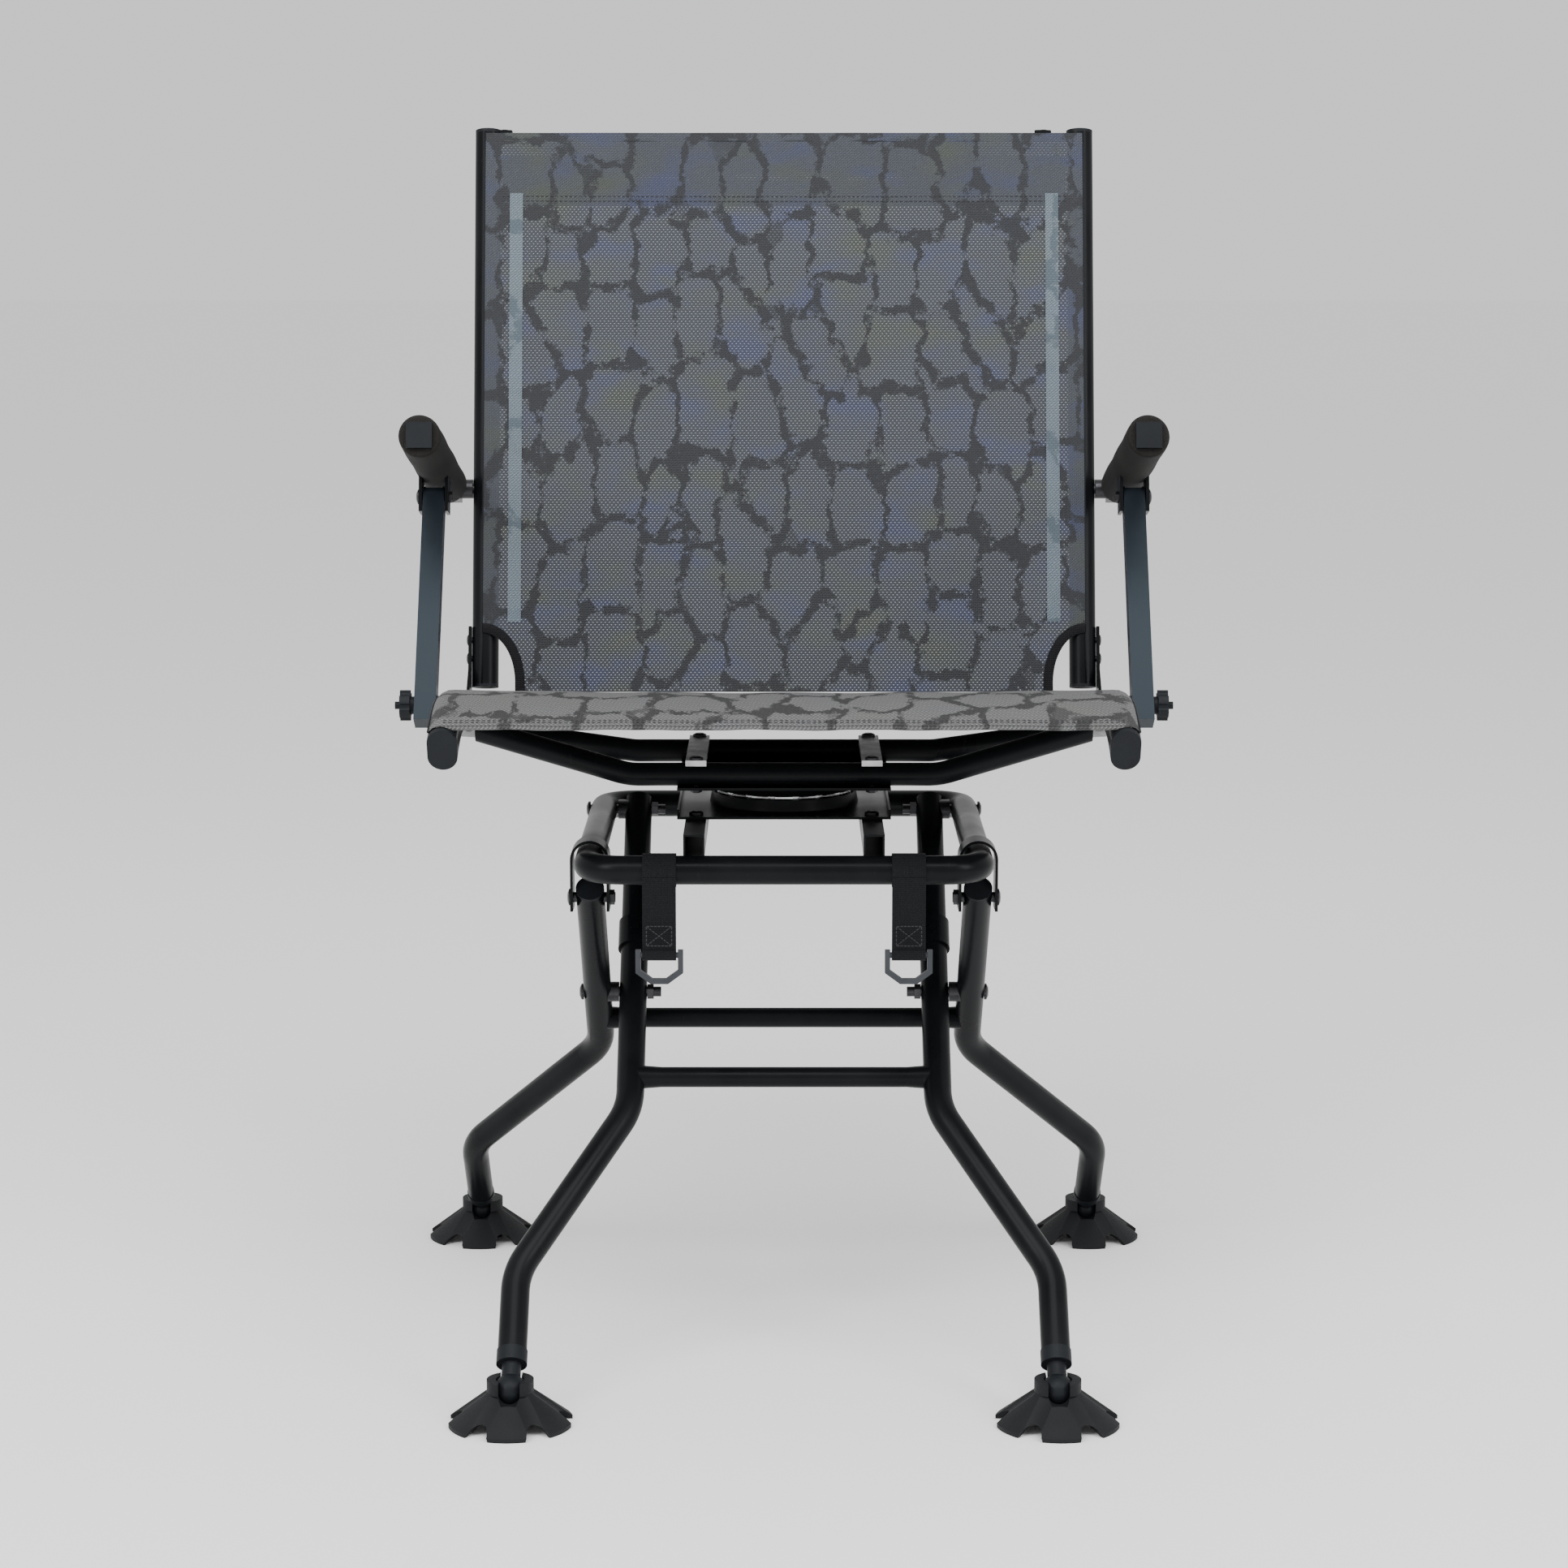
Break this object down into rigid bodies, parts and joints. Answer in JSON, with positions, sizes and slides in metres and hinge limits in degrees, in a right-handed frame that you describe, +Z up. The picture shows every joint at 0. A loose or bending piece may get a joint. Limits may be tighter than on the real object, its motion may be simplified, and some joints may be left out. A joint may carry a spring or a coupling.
{
  "type": "folding swivel chair",
  "caption": "Folding field chair with mesh seat and back, padded arms, a swivel under the seat and crossed legs on tilting feet.",
  "frame": {"origin": "on the floor under the middle of the chair's footprint box", "axes": "+Z up, -Y is the front the sitter faces, +X is the viewer's right seen from the front"},
  "size_m": [0.6192, 0.599, 0.957],
  "materials": {
    "frame_black": "satin black powder coat",
    "bolt_dark": "blackened, slightly glossy",
    "tie_steel": "satin",
    "ball_steel": "polished",
    "plug_plastic": "fine grain",
    "ring_plastic": "semi-gloss",
    "foot_rubber": "matt",
    "mesh_fabric": "printed open plastic mesh",
    "web_fabric": "woven webbing",
    "grip_foam": "matt foam"
  },
  "bodies": {
    "base_frame": {"base_front_bar": "frame_black", "base_rear_loop": "frame_black", "deck_rails": "frame_black", "swivel_lower_plate": "frame_black", "deck_bolts": "bolt_dark", "carry_strap_left": "web_fabric", "carry_strap_right": "web_fabric"},
    "bearing": {"swivel_balls": "ball_steel"},
    "seat_frame": {"swivel_upper_plate": "frame_black", "seat_front_crossbar": "frame_black", "seat_rear_crossbar": "frame_black", "seat_tie_bars": "tie_steel", "seat_bolts": "bolt_dark", "seat_rail_left": "frame_black", "seat_rail_right": "frame_black", "seat_rail_caps": "plug_plastic", "seat_sling": "mesh_fabric", "strut_catches": "frame_black", "back_hinge_bolts": "bolt_dark"},
    "back_frame": {"back_post_left": "frame_black", "back_post_right": "frame_black", "back_spreader": "frame_black", "back_hinge_plates": "frame_black", "back_hinge_rivets": "bolt_dark", "back_post_caps": "plug_plastic", "back_sling": "mesh_fabric"},
    "inner_legs": {"inner_leg_left": "frame_black", "inner_leg_right": "frame_black", "front_leg_crossbar": "frame_black", "leg_pivot_bolts": "bolt_dark", "lock_brackets": "frame_black", "front_foot_stems": "plug_plastic"},
    "outer_legs": {"outer_leg_left": "frame_black", "outer_leg_right": "frame_black", "rear_leg_crossbar": "frame_black", "scissor_bolts": "bolt_dark", "outer_leg_caps": "plug_plastic", "rear_foot_stems": "plug_plastic"},
    "saddle_slides": {"saddles": "frame_black", "saddle_bolts": "bolt_dark"},
    "arm_left": {"arm_tube_left": "frame_black", "arm_grip_left": "grip_foam", "arm_cap_left": "plug_plastic", "arm_bracket_left": "frame_black", "arm_bolts_left": "bolt_dark"},
    "strut_left_body": {"strut_left": "frame_black"},
    "knob_left": {"arm_knob_left": "plug_plastic"},
    "front_foot_left": {"front_pad_left": "foot_rubber"},
    "rear_foot_left": {"rear_pad_left": "foot_rubber"},
    "ring_left": {"carry_ring_left": "ring_plastic"},
    "arm_right": {"arm_tube_right": "frame_black", "arm_grip_right": "grip_foam", "arm_cap_right": "plug_plastic", "arm_bracket_right": "frame_black", "arm_bolts_right": "bolt_dark"},
    "strut_right_body": {"strut_right": "frame_black"},
    "knob_right": {"arm_knob_right": "plug_plastic"},
    "front_foot_right": {"front_pad_right": "foot_rubber"},
    "rear_foot_right": {"rear_pad_right": "foot_rubber"},
    "ring_right": {"carry_ring_right": "ring_plastic"}
  },
  "joints": [
    {"name": "seat_swivel", "type": "hinge", "parent": "base_frame", "child": "seat_frame", "pos_m": [0, 0.005, 0.43725], "axis": [0, 0, 1], "continuous": true},
    {"name": "bearing_turn", "type": "hinge", "parent": "base_frame", "child": "bearing", "pos_m": [0, 0.005, 0.43725], "axis": [0, 0, 1], "continuous": true},
    {"name": "back_fold", "type": "hinge", "parent": "seat_frame", "child": "back_frame", "pos_m": [0, 0.1352, 0.4809], "axis": [1, 0, 0], "range_deg": [0, 94]},
    {"name": "leg_fold", "type": "hinge", "parent": "base_frame", "child": "inner_legs", "pos_m": [0, 0.135, 0.398], "axis": [1, 0, 0], "range_deg": [0, 18]},
    {"name": "scissor_turn", "type": "hinge", "parent": "inner_legs", "child": "outer_legs", "pos_m": [0, 0.0038, 0.27187], "axis": [1, 0, 0], "range_deg": [-45.5, 0.5]},
    {"name": "saddle_turn", "type": "hinge", "parent": "outer_legs", "child": "saddle_slides", "pos_m": [0, -0.09211, 0.36688], "axis": [1, 0, 0], "range_deg": [-0.5, 27.5]},
    {"name": "arm_fold_left", "type": "hinge", "parent": "back_frame", "child": "arm_left", "pos_m": [-0.28, 0.20573, 0.658], "axis": [1, 0, 0], "range_deg": [-92, 0.5]},
    {"name": "strut_fold_left", "type": "hinge", "parent": "arm_left", "child": "strut_left_body", "pos_m": [-0.28, 0.07098, 0.66207], "axis": [1, 0, 0], "range_deg": [-0.5, 106]},
    {"name": "knob_turn_left", "type": "hinge", "parent": "strut_left_body", "child": "knob_left", "pos_m": [-0.295, -0.027, 0.507], "axis": [1, 0, 0], "continuous": true},
    {"name": "front_foot_tilt_left", "type": "hinge", "parent": "inner_legs", "child": "front_foot_left", "pos_m": [-0.203, -0.253, 0.025], "axis": [1, 0, 0], "range_deg": [-15, 15]},
    {"name": "rear_foot_tilt_left", "type": "hinge", "parent": "outer_legs", "child": "rear_foot_left", "pos_m": [-0.264, 0.253, 0.025], "axis": [1, 0, 0], "range_deg": [-15, 15]},
    {"name": "ring_swing_left", "type": "hinge", "parent": "base_frame", "child": "ring_left", "pos_m": [-0.094, -0.1584, 0.335], "axis": [1, 0, 0], "range_deg": [-45, 45]},
    {"name": "arm_fold_right", "type": "hinge", "parent": "back_frame", "child": "arm_right", "pos_m": [0.28, 0.20573, 0.658], "axis": [1, 0, 0], "range_deg": [-92, 0.5]},
    {"name": "strut_fold_right", "type": "hinge", "parent": "arm_right", "child": "strut_right_body", "pos_m": [0.28, 0.07098, 0.66207], "axis": [1, 0, 0], "range_deg": [-0.5, 106]},
    {"name": "knob_turn_right", "type": "hinge", "parent": "strut_right_body", "child": "knob_right", "pos_m": [0.295, -0.027, 0.507], "axis": [1, 0, 0], "continuous": true},
    {"name": "front_foot_tilt_right", "type": "hinge", "parent": "inner_legs", "child": "front_foot_right", "pos_m": [0.203, -0.253, 0.025], "axis": [1, 0, 0], "range_deg": [-15, 15]},
    {"name": "rear_foot_tilt_right", "type": "hinge", "parent": "outer_legs", "child": "rear_foot_right", "pos_m": [0.264, 0.253, 0.025], "axis": [1, 0, 0], "range_deg": [-15, 15]},
    {"name": "ring_swing_right", "type": "hinge", "parent": "base_frame", "child": "ring_right", "pos_m": [0.094, -0.1584, 0.335], "axis": [1, 0, 0], "range_deg": [-45, 45]}
  ],
  "couplings": [
    {"joint": "bearing_turn", "follows": "seat_swivel", "ratio": 0.5},
    {"joint": "scissor_turn", "follows": "leg_fold", "ratio": -2.5},
    {"joint": "saddle_turn", "follows": "leg_fold", "ratio": 1.5},
    {"joint": "arm_fold_left", "follows": "back_fold", "ratio": -0.97},
    {"joint": "strut_fold_left", "follows": "back_fold", "ratio": 1.1129},
    {"joint": "arm_fold_right", "follows": "back_fold", "ratio": -0.97},
    {"joint": "strut_fold_right", "follows": "back_fold", "ratio": 1.1129}
  ]
}
